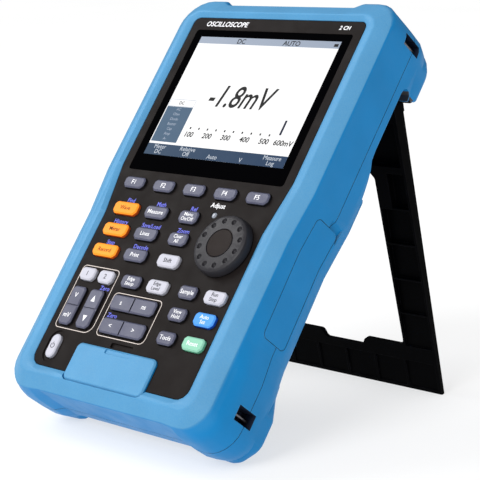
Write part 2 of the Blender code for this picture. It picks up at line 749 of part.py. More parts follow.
def rockers():
    top = PANEL_FRONT - KEY_RISE
    for name, x, z, width, height, sideways in ROCKERS:
        cap = key_cap(name, key_corners((x, z), (width, height)))
        groove_half = 0.5 * MM
        reach = max(width, height)
        half = (groove_half, reach) if sideways else (reach, groove_half)
        groove = box(
            "groove",
            (x - half[0], top - 1 * MM, z - half[1]),
            (x + half[0], top + 0.6 * MM, z + half[1]),
        )
        cut(cap, groove)
        finish(cap, KEY_GREY, (x, (PANEL_FRONT + PANEL_BACK) / 2, z))


def power_button():
    outline = rectangle(POWER_CENTRE, POWER_SIZE, POWER_SIZE[0] / 2)
    top = PANEL_FRONT - 1.2 * MM
    sections = [
        (KEY_FOOT, round_corners(outline)),
        (top + 0.6 * MM, round_corners(outline)),
        (top, round_corners(outline, 0.8 * MM)),
    ]
    x, z = POWER_CENTRE
    return finish(loft("power_button", sections), KEY_WHITE, (x, KEY_FOOT, z))


def keypad_mat():
    low_x, high_x = -57.6 * MM, 57.6 * MM
    outline = [
        (high_x, 138.6 * MM, 2 * MM),
        (high_x, 36.6 * MM, 2 * MM),
        (-40 * MM, 36.6 * MM, 0.0),
        (-40 * MM, 18.6 * MM, 2 * MM),
        (low_x, 18.6 * MM, 2 * MM),
        (low_x, 138.6 * MM, 2 * MM),
    ]
    mat = prism("keypad_mat", outline, MAT_FRONT, MAT_BACK)
    at = (KNOB_CENTRE[0], MAT_FRONT, KNOB_CENTRE[1])
    cut(mat, cylinder("encoder_hole", at, (0, 1, 0), 11.5 * MM, 8 * MM))
    lamp_at = (LAMP_CENTRE[0], MAT_FRONT, LAMP_CENTRE[1])
    cut(mat, cylinder("lamp_hole", lamp_at, (0, 1, 0), 3.0 * MM, 8 * MM, 16))
    return finish(mat, SILICONE)


def adjust_lamp():
    profile = [(0.0, 2.5 * MM), (1.2 * MM, 2.5 * MM), (1.2 * MM, LAMP_RADIUS), (4.0 * MM, LAMP_RADIUS)]
    profile.append((4.7 * MM, 0.9 * MM))
    at = (LAMP_CENTRE[0], PANEL_FRONT + 4.4 * MM, LAMP_CENTRE[1])
    return finish(turned("adjust_lamp", profile, at, (0, -1, 0), 16), KEY_WHITE)


def adjust_knob():
    """A low knob: a wide ring with twelve finger dimples round a flush centre disc."""
    rise = KNOB_RISE
    base = PANEL_FRONT - 0.4 * MM
    groove = 0.7 * MM
    profile = [
        (0.0, KNOB_RADIUS - 0.5 * MM),
        (0.4 * MM, KNOB_RADIUS),
        (rise - 2.0 * MM, KNOB_RADIUS - 0.3 * MM),
        (rise - 0.6 * MM, KNOB_RADIUS - 1.1 * MM),
        (rise, KNOB_RADIUS - 2.4 * MM),
        (rise, KNOB_DISC + 0.35 * MM),
        (rise - groove, KNOB_DISC + 0.2 * MM),
        (rise - groove, KNOB_DISC - 0.2 * MM),
        (rise, KNOB_DISC - 0.35 * MM),
        (rise - 0.15 * MM, 2.0 * MM),
    ]
    at = (KNOB_CENTRE[0], base, KNOB_CENTRE[1])
    knob = turned("adjust_knob", profile, at, (0, -1, 0), 36)
    for index in range(12):
        angle = 2 * math.pi * (index + 0.5) / 12
        spot = (
            KNOB_CENTRE[0] + DIMPLE_RING * math.cos(angle),
            base - rise - 0.3 * MM,
            KNOB_CENTRE[1] + DIMPLE_RING * math.sin(angle),
        )
        cut(knob, dimple(spot))
    bore = cylinder("bore", (at[0], base, at[2]), (0, 1, 0), 3.3 * MM, 6 * MM)
    cut(knob, bore)
    return finish(knob, PANEL_BLACK, (at[0], base, at[2]))


def dimple(spot):
    mesh = bpy.data.meshes.new("dimple")
    build = bmesh.new()
    bmesh.ops.create_uvsphere(
        build, u_segments=10, v_segments=6, radius=1.7 * MM, matrix=Matrix.Translation(spot)
    )
    build.to_mesh(mesh)
    build.free()
    return bpy.data.objects.new("dimple", mesh)


def knob_encoder():
    at = (KNOB_CENTRE[0], BOARD_FRONT - GAP, KNOB_CENTRE[1])
    top = BOARD_FRONT - GAP - (PANEL_FRONT - 2.6 * MM)
    profile = [
        (0.0, 6.6 * MM),
        (5.4 * MM, 6.6 * MM),
        (5.4 * MM, 4.0 * MM),
        (8.4 * MM, 4.0 * MM),
        (8.4 * MM, 3.0 * MM),
        (top, 3.0 * MM),
    ]
    return finish(turned("knob_encoder", profile, at, (0, -1, 0)), STEEL)


def jack_flap():
    outline = rectangle(FLAP_CENTRE, FLAP_SIZE, 3.5 * MM)
    front = BODY_FRONT + 0.1 * MM
    flap = loft(
        "jack_flap",
        [
            (FLAP_BACK, round_corners(outline)),
            (front + 0.8 * MM, round_corners(outline)),
            (front, round_corners(outline, 1.0 * MM)),
        ],
    )
    x = FLAP_CENTRE[0]
    top = FLAP_CENTRE[1] + FLAP_SIZE[1] / 2
    grip = rectangle((x + 1.5 * MM, top - 2.0 * MM), (20.0 * MM, 2.6 * MM), 1.0 * MM)
    cut(flap, prism("grip", grip, front - 1 * MM, front + 0.6 * MM))
    for jack_x in jack_positions():
        cut(flap, cylinder("hollow", (jack_x, FLAP_BACK, JACK_Z), (0, 1, 0), 5 * MM, 1.6 * MM))
    bottom = FLAP_CENTRE[1] - FLAP_SIZE[1] / 2
    return finish(flap, BLUE, (x, front, bottom))


def meter_jacks():
    names = ("meter_jack_current", "meter_jack_common", "meter_jack_volts")
    for name, x in zip(names, jack_positions()):
        profile = [(0.0, 5.6 * MM), (22.0 * MM, 5.6 * MM)]
        jack = turned(name, profile, (x, PANEL_FRONT + 1.9 * MM + 22.0 * MM, JACK_Z), (0, -1, 0))
        mouth = (x, PANEL_FRONT + 1.9 * MM, JACK_Z)
        cut(jack, cylinder("socket", mouth, (0, 1, 0), 4.1 * MM, 36 * MM))
        core = [(0.0, 4.6 * MM), (3.0 * MM, 4.6 * MM), (3.0 * MM, 3.2 * MM), (20.0 * MM, 3.2 * MM)]
        join(jack, turned("contact", core, (x, PANEL_FRONT + 24.4 * MM, JACK_Z), (0, -1, 0)))
        cut(jack, cylinder("contact_bore", mouth, (0, 1, 0), 2.0 * MM, 30 * MM, 16))
        finish(jack, PANEL_BLACK)


# ---------------------------------------------------------------- sides, top and inside
def port_door():
    """Rubber cover over the side ports, hinged along its front edge."""
    outside = front_sections()[:-1] + rear_sections()[1:]
    inner = HALF_WAIST - DOOR_THICK
    low = (DOOR_Y[0], DOOR_Z[0])
    high = (DOOR_Y[1], DOOR_Z[1])
    door = side_prism("port_door", low, high, inner, HALF_WIDTH + 6 * MM)
    combine(door, loft("outside", outside), "INTERSECT")
    edge = HALF_WIDTH + 0.8 * MM
    return finish(door, BLUE, (edge, DOOR_Y[0], sum(DOOR_Z) / 2))


def side_ports():
    face = HALF_WAIST - 3.0 * MM
    usb = box("usb_port", (face - 13 * MM, -34.6 * MM, 104 * MM), (face, -27.6 * MM, 117.5 * MM))
    cut(usb, box("mouth", (face - 10 * MM, -33.8 * MM, 104.8 * MM), (face + 1 * MM, -28.4 * MM, 116.7 * MM)))
    tongue = box("tongue", (face - 11 * MM, -32.2 * MM, 105.6 * MM), (face - 2 * MM, -30.4 * MM, 115.9 * MM))
    join(usb, tongue)
    finish(usb, STEEL)
    inlet = box("power_inlet", (face - 13 * MM, -35.6 * MM, 76 * MM), (face, -26.6 * MM, 86 * MM))
    mouth = (face, -31.1 * MM, 81 * MM)
    cut(inlet, cylinder("bore", mouth, (1, 0, 0), 3.2 * MM, 20 * MM))
    pin = (face - 6.5 * MM, -31.1 * MM, 81 * MM)
    join(inlet, cylinder("pin", pin, (1, 0, 0), 1.0 * MM, 10 * MM, 12))
    finish(inlet, STAND_BLACK)


def input_connectors():
    for side, name in ((-1, "bnc_input_1"), (1, "bnc_input_2")):
        base = BODY_TOP - 10 * MM
        profile = [
            (0.0, 5.9 * MM),
            (11.4 * MM, 5.9 * MM),
            (11.4 * MM, 4.85 * MM),
            (22.4 * MM, 4.85 * MM),
        ]
        at = (side * BNC_X, BNC_Y, base)
        body = turned(name, profile, at, (0, 0, 1))
        join(body, cylinder("lugs", (at[0], at[1], base + 17 * MM), (1, 0, 0), 0.9 * MM, 12 * MM, 12))
        rim = (at[0], at[1], base + 22.4 * MM)
        cut(body, cylinder("mouth", rim, (0, 0, 1), 4.0 * MM, 18 * MM))
        stub = (at[0], at[1], base + 16 * MM)
        join(body, cylinder("insulator", stub, (0, 0, 1), 2.4 * MM, 9 * MM, 16))
        finish(body, BRASS)


def strap_bars():
    """The steel bar across each strap slot."""
    for side, hand in ((-1, "left"), (1, "right")):
        for (low, high), place in ((SLOT_LOW_Z, "lower"), (SLOT_HIGH_Z, "upper")):
            x = side * (HALF_WIDTH - 4.2 * MM)
            at = (x, sum(SLOT_Y) / 2, (low + high) / 2)
            length = SLOT_Y[1] - SLOT_Y[0] - 2 * 0.05 * MM
            bar = cylinder(f"strap_bar_{place}_{hand}", at, (0, 1, 0), 1.1 * MM, length, 16)
            finish(bar, STEEL)


def main_board():
    outline = rectangle((0.0, 141.0 * MM), (138 * MM, 196 * MM), 4 * MM)
    board = prism("main_board", outline, BOARD_FRONT, BOARD_BACK)
    return finish(board, BOARD_GREEN)


def battery():
    pack_size = rectangle((0.0, sum(COVER_Z) / 2), (68 * MM, 80 * MM), 5 * MM)
    finish(prism("battery_pack", pack_size, -38 * MM, -13.6 * MM), CELL)
    outline = rectangle((0.0, sum(COVER_Z) / 2), (2 * COVER_X, COVER_Z[1] - COVER_Z[0]), 4 * MM)
    cover = loft(
        "battery_cover",
        [
            (FLOOR_INNER, round_corners(outline)),
            (-12.2 * MM, round_corners(outline)),
            (-11.0 * MM, round_corners(outline, 1.2 * MM)),
        ],
    )
    hollow = rectangle((0.0, sum(COVER_Z) / 2), (70 * MM, 82 * MM), 5 * MM)
    cut(cover, prism("cover_hollow", hollow, FLOOR_INNER - 1 * MM, -13.2 * MM))
    finish(cover, STAND_BLACK)


# ---------------------------------------------------------------- stand
def kickstand():
    """Folding frame, drawn closed against the back and then swung open round its hinge."""
    outer = -STAND_SKIN
    inner_top = outer - STAND_DEPTH_TOP
    inner_foot = outer - STAND_DEPTH_FOOT
    mesh = bpy.data.meshes.new("kickstand")
    build = bmesh.new()
    start, end = -3.6 * MM, -STAND_LENGTH
    corners = []
    for x in (-STAND_HALF, STAND_HALF):
        corners.append([build.verts.new((x, y, z)) for y, z in
                        ((outer, start), (outer, end), (inner_foot, end), (inner_top, start))])
    left, right = corners
    build.faces.new(left)
    build.faces.new(list(reversed(right)))
    for i in range(4):
        j = (i + 1) % 4
        build.faces.new((left[i], right[i], right[j], left[j]))
    bmesh.ops.recalc_face_normals(build, faces=build.faces)
    build.to_mesh(mesh)
    build.free()
    stand = bpy.data.objects.new("kickstand", mesh)
    inner_half = STAND_HALF - STAND_LEG
    chamfer = 12 * MM
    window = mirrored(
        [
            (inner_half - chamfer, -WINDOW_START + 14 * MM, 3 * MM),
            (inner_half, -WINDOW_START, 3 * MM),
            (inner_half, -BAR_START, 4 * MM),
            (17.5 * MM, -BAR_START, 3 * MM),
            (15.0 * MM, -BAR_START - 5.2 * MM, 3 * MM),
        ]
    )
    cut(stand, prism("stand_window", window, -40 * MM, 20 * MM))
    for pocket in stand_pockets(outer):
        cut(stand, pocket)
    for side in (-1, 1):
        x = side * (BARREL_END - BARREL_LENGTH / 2)
        barrel = cylinder("barrel", (x, 0.0, 0.0), (1, 0, 0), 4.6 * MM, BARREL_LENGTH, 20)
        join(stand, barrel)
        web = sorted((side * (STAND_HALF - BARREL_LENGTH + 4 * MM), side * (STAND_HALF - 0.1 * MM)))
        join(stand, box("web", (web[0], -6 * MM, -9 * MM), (web[1], -1.6 * MM, -1 * MM)))
        cut(stand, cylinder("pin_bore", (x, 0.0, 0.0), (1, 0, 0), 2.3 * MM, 30 * MM))
    finish(stand, STAND_BLACK)
    stand.location = (0.0, HINGE_Y, HINGE_Z)
    stand.rotation_euler = (STAND_OPEN, 0.0, 0.0)
    return stand


def stand_pockets(outer):
    """Hollows on the body side of the stand that leave its ribs standing."""
    skin = 1.8 * MM
    far = outer - 30 * MM
    inner = STAND_HALF - STAND_LEG + STAND_RIM
    edge = STAND_HALF - STAND_RIM
    first = 45.0 * MM
    pockets = []
    for side in (-1, 1):
        for row in range(5):
            top = -(first + row * STAND_PITCH)
            low = top - STAND_PITCH + STAND_RIB
            start = inner if row else inner + 8 * MM
            xs = sorted((side * start, side * edge))
            pockets.append(box("pocket", (xs[0], far, low), (xs[1], outer - skin, top)))
    for columns, low, high in ((4, -41 * MM, -14 * MM), (6, 2 * MM - STAND_LENGTH, -167 * MM)):
        step = 2 * edge / columns
        for column in range(columns):
            x = -edge + column * step
            corner = (x + STAND_RIB, far, low)
            pockets.append(box("pocket", corner, (x + step - STAND_RIB, outer - skin, high)))
    return pockets


def stand_pins():
    for side, hand in ((-1, "left"), (1, "right")):
        at = (side * sum(PIN_SPAN) / 2, HINGE_Y, HINGE_Z)
        length = PIN_SPAN[1] - PIN_SPAN[0]
        finish(cylinder(f"stand_pin_{hand}", at, (1, 0, 0), 2.0 * MM, length, 20), STEEL)


# ---------------------------------------------------------------- assembly
def lean_angle():
    """Lean that puts the corner bumpers and the open stand's foot on one surface."""
    foot = Vector((-STAND_SKIN - STAND_DEPTH_FOOT, -STAND_LENGTH))
    turned_y = foot.x * math.cos(STAND_OPEN) - foot.y * math.sin(STAND_OPEN)
    turned_z = foot.x * math.sin(STAND_OPEN) + foot.y * math.cos(STAND_OPEN)
    foot_y = HINGE_Y + turned_y
    foot_z = HINGE_Z + turned_z
    return math.atan2(foot_z - CONTACT[1], foot_y - CONTACT[0])


def settle():
    """Drop the leaning instrument onto the surface and centre it."""
    bpy.context.view_layer.update()
    points = []
    for item in parts.objects:
        if item.type == "MESH":
            points += [item.matrix_world @ vertex.co for vertex in item.data.vertices]
    low = [min(p[axis] for p in points) for axis in range(3)]
    high = [max(p[axis] for p in points) for axis in range(3)]
    frame.location.x -= (low[0] + high[0]) / 2
    frame.location.y -= (low[1] + high[1]) / 2
    frame.location.z -= low[2]
    bpy.context.view_layer.update()


clear_scene()
parts = collection("handheld_oscilloscope")
cutters = collection("cutters")
frame = bpy.data.objects.new("instrument_frame", None)
parts.objects.link(frame)
frame.rotation_euler = (-lean_angle(), 0.0, 0.0)

front_housing()
rear_housing()
keypad_panel()
display_window()
display_module()
keys()
rockers()
power_button()
keypad_mat()
adjust_lamp()
adjust_knob()
knob_encoder()
jack_flap()
meter_jacks()
port_door()
side_ports()
input_connectors()
strap_bars()
main_board()
battery()
kickstand()
stand_pins()
settle()
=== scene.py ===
"""Looks of a handheld oscilloscope on its folding stand: rubber case, printed panel and lit screen.

MM turns millimetres into metres. Most places are given on the face of the instrument, from the middle
of the glass: x to the right, u up the face, and the third number out of the face.
"""

import json
import math

import bmesh
import bpy
from mathutils import Matrix, Vector

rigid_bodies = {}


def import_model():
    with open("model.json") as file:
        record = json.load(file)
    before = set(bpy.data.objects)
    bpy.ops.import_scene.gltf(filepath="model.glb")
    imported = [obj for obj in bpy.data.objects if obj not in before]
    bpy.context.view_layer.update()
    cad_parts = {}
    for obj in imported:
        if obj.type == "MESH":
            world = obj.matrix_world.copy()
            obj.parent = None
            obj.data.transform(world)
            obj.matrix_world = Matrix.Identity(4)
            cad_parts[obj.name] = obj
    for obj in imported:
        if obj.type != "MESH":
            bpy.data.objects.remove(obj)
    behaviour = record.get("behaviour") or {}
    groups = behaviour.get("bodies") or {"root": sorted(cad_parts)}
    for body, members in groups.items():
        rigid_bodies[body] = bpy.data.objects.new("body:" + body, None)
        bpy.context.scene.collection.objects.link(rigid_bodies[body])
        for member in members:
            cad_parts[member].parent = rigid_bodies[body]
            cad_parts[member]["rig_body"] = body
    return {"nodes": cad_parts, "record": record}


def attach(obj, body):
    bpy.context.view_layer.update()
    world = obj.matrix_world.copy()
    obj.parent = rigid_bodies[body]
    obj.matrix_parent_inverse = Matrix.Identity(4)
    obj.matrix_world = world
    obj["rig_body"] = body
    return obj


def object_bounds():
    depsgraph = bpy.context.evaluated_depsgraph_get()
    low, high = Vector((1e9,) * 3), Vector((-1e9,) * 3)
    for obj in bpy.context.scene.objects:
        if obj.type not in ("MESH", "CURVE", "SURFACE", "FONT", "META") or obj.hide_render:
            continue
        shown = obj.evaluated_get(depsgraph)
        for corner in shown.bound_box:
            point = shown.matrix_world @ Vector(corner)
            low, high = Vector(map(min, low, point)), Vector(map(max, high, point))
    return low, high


MM = 0.001
# print stands a hair proud of what it is printed on
PRINT_THICK = 0.04 * MM
PRINT_LIFT = 0.01 * MM
FLOOR_RADIUS = 60.0
# faces of a key that look less far forward than this are its sides
KEY_TOP_TURN = 0.35
SHARP_EDGE = math.radians(33)

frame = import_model()
cad_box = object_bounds()
NODES = frame["nodes"]


# ---------------------------------------------------------------- places on the face
def face_matrix():
    """Turns face coordinates into the frame's, from the mount on the glass."""
    mount = next(m for m in frame["record"]["mounts"] if m["name"] == "display_window_face")
    out = Vector(mount["axis"]).normalized()
    right = Vector((1.0, 0.0, 0.0))
    up = out.cross(right)
    turn = Matrix((right, up, out)).transposed().to_4x4()
    return Matrix.Translation(Vector(mount["pos_m"])) @ turn


FACE = face_matrix()
TO_FACE = FACE.inverted()


def face_box(*names):
    """Lowest and highest corner of some CAD nodes, in face coordinates."""
    points = [TO_FACE @ v.co for name in names for v in NODES[name].data.vertices]
    low = Vector([min(p[i] for p in points) for i in range(3)])
    high = Vector([max(p[i] for p in points) for i in range(3)])
    return low, high


def body_of(name):
    """The body that a CAD node moves with."""
    return NODES[name]["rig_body"]


# ---------------------------------------------------------------- materials
def srgb(code, alpha=1.0):
    """A colour written as six hex digits, as linear light."""
    values = [int(code[i : i + 2], 16) / 255 for i in (0, 2, 4)]
    linear = [v / 12.92 if v <= 0.04045 else ((v + 0.055) / 1.055) ** 2.4 for v in values]
    return (*linear, alpha)


def scaled(colour, factor):
    """The colour made darker or lighter."""
    return tuple(min(1.0, c * factor) for c in colour[:3]) + (1.0,)


class Shader:
    """A node material on one principled surface, worked out in object coordinates."""

    def __init__(self, name):
        self.material = bpy.data.materials.new(name)
        self.material.use_nodes = True
        self.tree = self.material.node_tree
        self.surface = self.tree.nodes["Principled BSDF"]
        self.place = self.add("ShaderNodeTexCoord").outputs["Object"]

    def add(self, kind, links=None, **settings):
        node = self.tree.nodes.new(kind)
        for key, value in settings.items():
            setattr(node, key, value)
        for key, value in (links or {}).items():
            self.feed(node.inputs[key], value)
        return node

    def feed(self, socket, value):
        if isinstance(value, bpy.types.NodeSocket):
            self.tree.links.new(value, socket)
        else:
            socket.default_value = value

    def set(self, **sockets):
        for key, value in sockets.items():
            self.feed(self.surface.inputs[key.replace("_", " ")], value)

    def noise(self, scale, detail=3.0, stretch=None):
        """Cloudy noise with so many features to the metre."""
        place = self.place
        if stretch:
            place = self.add("ShaderNodeMapping", {"Vector": place, "Scale": stretch}).outputs[0]
        links = {"Vector": place, "Scale": scale, "Detail": detail}
        return self.add("ShaderNodeTexNoise", links).outputs["Fac"]

    def span(self, value, low, high, to_low, to_high):
        """Carries the range from low to high over to another range, and holds its ends."""
        links = {0: value, 1: low, 2: high, 3: to_low, 4: to_high}
        return self.add("ShaderNodeMapRange", links, clamp=True).outputs[0]

    def times(self, a, b):
        return self.add("ShaderNodeMath", {0: a, 1: b}, operation="MULTIPLY").outputs[0]

    def mix(self, share, first, second):
        """Blends two colours; the share is the second one's."""
        node = self.add("ShaderNodeMix", data_type="RGBA")
        self.feed(node.inputs[0], share)
        self.feed(node.inputs[6], first)
        self.feed(node.inputs[7], second)
        return node.outputs[2]

    def rounded_edge(self, radius):
        """The shading normal with edges rounded, and how near an edge is, from 0 to 1."""
        round_normal = self.add("ShaderNodeBevel", {"Radius": radius}, samples=4).outputs[0]
        true_normal = self.add("ShaderNodeNewGeometry").outputs["Normal"]
        both = {0: round_normal, 1: true_normal}
        dot = self.add("ShaderNodeVectorMath", both, operation="DOT_PRODUCT").outputs["Value"]
        return round_normal, self.span(dot, 0.995, 0.80, 0.0, 1.0)

    def forward(self):
        """How far a surface faces the way the front of the instrument does, from 0 to 1."""
        normal = self.add("ShaderNodeTexCoord").outputs["Normal"]
        both = {0: normal, 1: tuple(FACE.to_3x3() @ Vector((0.0, 0.0, 1.0)))}
        dot = self.add("ShaderNodeVectorMath", both, operation="DOT_PRODUCT").outputs["Value"]
        return self.span(dot, 0.3, 0.75, 0.0, 1.0)

    def bump(self, height, strength, distance, normal=None):
        links = {"Height": height, "Strength": strength, "Distance": distance}
        if normal is not None:
            links["Normal"] = normal
        self.set(Normal=self.add("ShaderNodeBump", links).outputs[0])


def moulded(
    name,
    colour,
    roughness,
    mottle=0.08,
    grain=0.35 * MM,
    depth=0.03 * MM,
    worn=None,
    edge=0.35 * MM,
    painted_lit_front=None,
):
    """Moulded plastic or rubber: cloudy colour, fine moulded grain, rubbed edges and uneven gloss.

    Surfaces that face forward can take a second, paler colour: painted light and painted sheen where the
    front faces the lamps.
    """
    look = Shader(name)
    cloud = look.noise(38.0, 4.0)
    speck = look.noise(1 / (2.5 * grain), 2.0)
    blend = look.span(cloud, 0.3, 0.7, 0.0, 1.0)
    tone = look.mix(blend, scaled(colour, 1 - mottle), scaled(colour, 1 + mottle))
    # painted light: surfaces facing forward are blended into the paler colour, as painted light and sheen
    # on the front
    if painted_lit_front is not None:
        painted_lit_tone = look.mix(blend, scaled(painted_lit_front, 1 - mottle), scaled(painted_lit_front, 1 + mottle))
        tone = look.mix(look.forward(), tone, painted_lit_tone)
    tone = look.mix(look.span(speck, 0.35, 0.75, 0.0, 0.25), tone, scaled(colour, 1 - 2 * mottle))
    normal, near_edge = look.rounded_edge(edge)
    if worn is not None:
        patches = look.span(look.noise(160.0, 4.0), 0.42, 0.62, 0.15, 0.8)
        tone = look.mix(look.times(near_edge, patches), tone, worn)
    smudge = look.noise(95.0, 5.0)
    look.set(Base_Color=tone)
    look.set(Roughness=look.span(smudge, 0.3, 0.7, roughness - 0.06, roughness + 0.07))
    look.bump(look.noise(1 / grain, 2.0), 0.35, depth, normal)
    return look


def key_rubber(name, code, roughness, mottle):
    """The fine satin rubber of the keys."""
    return moulded(name, srgb(code), roughness, mottle, grain=0.22 * MM, depth=0.02 * MM)


def metal(name, colour, roughness, brushed=(1.0, 1.0, 1.0)):
    """Plated or brushed metal with fine drawn lines and a few dull patches."""
    look = Shader(name)
    lines = look.noise(900.0, 3.0, brushed)
    dull = look.noise(220.0, 4.0)
    tone = look.mix(look.span(dull, 0.35, 0.7, 0.0, 1.0), colour, scaled(colour, 0.72))
    normal, _ = look.rounded_edge(0.15 * MM)
    look.set(Base_Color=tone, Metallic=1.0)
    look.set(Roughness=look.span(lines, 0.3, 0.7, roughness - 0.07, roughness + 0.12))
    look.bump(lines, 0.25, 0.02 * MM, normal)
    return look


def printed(name, colour):
    """Screen-printed ink with a slightly uneven coat."""
    roughness = 0.45
    look = Shader(name)
    thin = look.noise(900.0, 3.0)
    tone = look.mix(look.span(thin, 0.35, 0.75, 0.0, 1.0), colour, scaled(colour, 0.82))
    look.set(Base_Color=tone)
    look.set(Roughness=look.span(thin, 0.3, 0.7, roughness, roughness + 0.12))
    look.bump(thin, 0.2, 0.01 * MM)
    return look


def lit(name, left, right, glow, width):
    """Part of the lit picture: its colour runs from left to right, with the faint grid of the dots."""
    look = Shader(name)
    across = look.add("ShaderNodeSeparateXYZ", {0: look.place}).outputs["X"]
    tone = look.mix(look.span(across, -width / 2, width / 2, 0.0, 1.0), left, right)
    dots = look.noise(2600.0, 1.0)
    tone = look.mix(look.span(dots, 0.35, 0.65, 0.0, 0.06), tone, (0.0, 0.0, 0.0, 1.0))
    look.set(Base_Color=look.mix(0.98, tone, (0.0, 0.0, 0.0, 1.0)))
    look.set(Emission_Color=tone, Emission_Strength=glow, Specular_IOR_Level=0.05)
    look.set(Roughness=look.span(look.noise(120.0), 0.3, 0.7, 0.22, 0.3))
    return look


WALL_BLUE = (0.004, 0.212, 0.52, 1.0)
# paler blue for the forward-facing surfaces of the case: painted light and painted sheen
PAINTED_LIT_FRONT_BLUE = (0.085, 0.270, 0.47, 1.0)

# the case's forward-facing surfaces take the paler blue as painted light and painted sheen
case_rubber = moulded(
    "case_rubber",
    WALL_BLUE,
    roughness=0.42,
    mottle=0.05,
    grain=0.30 * MM,
    worn=srgb("4FA5DC"),
    edge=0.6 * MM,
    painted_lit_front=PAINTED_LIT_FRONT_BLUE,
)
case_rubber.set(Specular_IOR_Level=0.18, Specular_Tint=(0.75, 0.92, 1.0, 1.0))
# darker blue painted into the strap slots, the port door's edges and the joint between the housings:
# painted shade
slot_shade = moulded("slot_painted_shade", srgb("12203A"), 0.6, 0.1)
hinge_grey = moulded("hinge_grey", srgb("3A3533"), 0.5, 0.12)
panel_plastic = moulded("panel_plastic", srgb("1C1817"), 0.5, 0.12, depth=0.04 * MM)
panel_plastic.set(Specular_IOR_Level=0.18, IOR=1.25)
knob_plastic = moulded(
    "knob_plastic",
    srgb("29282C"),
    roughness=0.42,
    mottle=0.1,
    grain=0.25 * MM,
    depth=0.02 * MM,
    worn=srgb("4A464B"),
)
knob_plastic.set(Specular_IOR_Level=0.4, IOR=1.35)
disc_plastic = moulded("disc_plastic", srgb("241E1C"), 0.40, 0.1, grain=0.25 * MM, depth=0.02 * MM)
disc_plastic.set(Specular_IOR_Level=0.14, IOR=1.25)
stand_plastic = moulded(
    "stand_plastic",
    srgb("050506"),
    roughness=0.42,
    mottle=0.2,
    grain=0.40 * MM,
    depth=0.04 * MM,
    worn=srgb("2C2C32"),
)
stand_plastic.set(Specular_IOR_Level=0.15, IOR=1.12)
glass_black = moulded("window_black", srgb("030304"), 0.12, 0.1, grain=0.60 * MM, depth=0.0, edge=0.2 * MM)
glass_black.set(Specular_IOR_Level=0.04, IOR=1.03)

# the grey, orange and blue keys have sides darker than their tops: painted shade
grey_rubber = key_rubber("grey_rubber", "484A60", 0.48, 0.06)
grey_shaded_side = key_rubber("grey_key_side_painted_shade", "17161C", 0.5, 0.1)
orange_rubber = key_rubber("orange_rubber", "FF9420", 0.45, 0.05)
orange_shaded_side = key_rubber("orange_key_side_painted_shade", "D8560C", 0.5, 0.06)
white_rubber = key_rubber("white_rubber", "B9B9C4", 0.45, 0.03)
white_side = key_rubber("white_key_side", "B9BAC6", 0.5, 0.05)
blue_rubber = key_rubber("blue_key_top", "4A92E0", 0.45, 0.05)
blue_shaded_side = key_rubber("blue_key_side_painted_shade", "0C4FC0", 0.5, 0.06)
green_rubber = key_rubber("green_key_top", "86C0A6", 0.45, 0.04)
green_side = key_rubber("green_key_side", "74C8A0", 0.5, 0.05)
for look in (white_rubber, green_rubber, blue_rubber, orange_rubber):
    look.set(Specular_IOR_Level=0.15)

silicone = moulded("silicone_mat", srgb("55555C"), 0.6, 0.06)
circuit = moulded("circuit_board", srgb("14532F"), 0.4, 0.2, grain=0.9 * MM, depth=0.06 * MM)
battery_wrap = moulded("battery_wrap", srgb("20242E"), 0.35, 0.15, grain=0.5 * MM, depth=0.02 * MM)
insulator = moulded("connector_insulator", srgb("E6E2D8"), 0.4, 0.04)
lamp_lens = moulded("lamp_lens", srgb("8E939E"), 0.25, 0.05, grain=0.2 * MM, depth=0.01 * MM)
steel = metal("drawn_steel", srgb("77777D"), 0.3, (1.0, 0.08, 1.0))
plated = metal("nickel_plate", srgb("C8C2B4"), 0.22)
ink_white = printed("ink_white", srgb("F2F2F5"))
ink_violet = printed("ink_violet", srgb("5860DA"))
ink_line = printed("ink_line", srgb("D8CCC4"))
ink_dark = printed("ink_dark", srgb("16161E"))
ink_brown = printed("ink_brown", srgb("3A1A04"))
for look in (ink_dark, ink_brown):
    look.set(Specular_IOR_Level=0.1)


# ---------------------------------------------------------------- painting the CAD nodes
def paint(name, look):
    """Gives a whole CAD node one material."""
    materials = NODES[name].data.materials
    materials.clear()
    materials.append(look.material)


def paint_where(name, look, test):
    """Gives a second material to the faces whose middle and normal, in face coordinates, pass the test."""
    mesh = NODES[name].data
    mesh.materials.append(look.material)
    index = len(mesh.materials) - 1
    for face in mesh.polygons:
        middle = TO_FACE @ face.center
        normal = TO_FACE.to_3x3() @ face.normal
        if test(middle, normal):
            face.material_index = index


GREY_KEYS = ["measure_key", "cursors_key", "print_key", "menu_key", "clear_key", "trigger_setup_key"]
GREY_KEYS += ["acquire_key", "display_key", "utility_key"]
SOFT_KEYS = [f"soft_key_{i}" for i in range(1, 6)]
ROCKERS = ["volts_rocker", "position_rocker", "timebase_rocker", "horizontal_rocker"]
ORANGE_KEYS = ["scope_mode_key", "meter_mode_key", "recorder_mode_key"]
WHITE_KEYS = ["shift_key", "channel_1_key", "channel_2_key", "trigger_level_key", "run_stop_key"]


def paint_keys():
    """Key tops in one colour and their sides in another; the darker sides of the grey, orange and blue
    keys are painted shade.
    """
    groups = [
        (GREY_KEYS + SOFT_KEYS + ROCKERS, grey_rubber, grey_shaded_side),
        (ORANGE_KEYS, orange_rubber, orange_shaded_side),
        (WHITE_KEYS + ["power_button"], white_rubber, white_side),
        (["auto_key"], blue_rubber, blue_shaded_side),
        (["default_key"], green_rubber, green_side),
    ]
    for names, top, side in groups:
        for name in names:
            paint(name, top)
            paint_where(name, side, lambda middle, normal: normal.z < KEY_TOP_TURN)


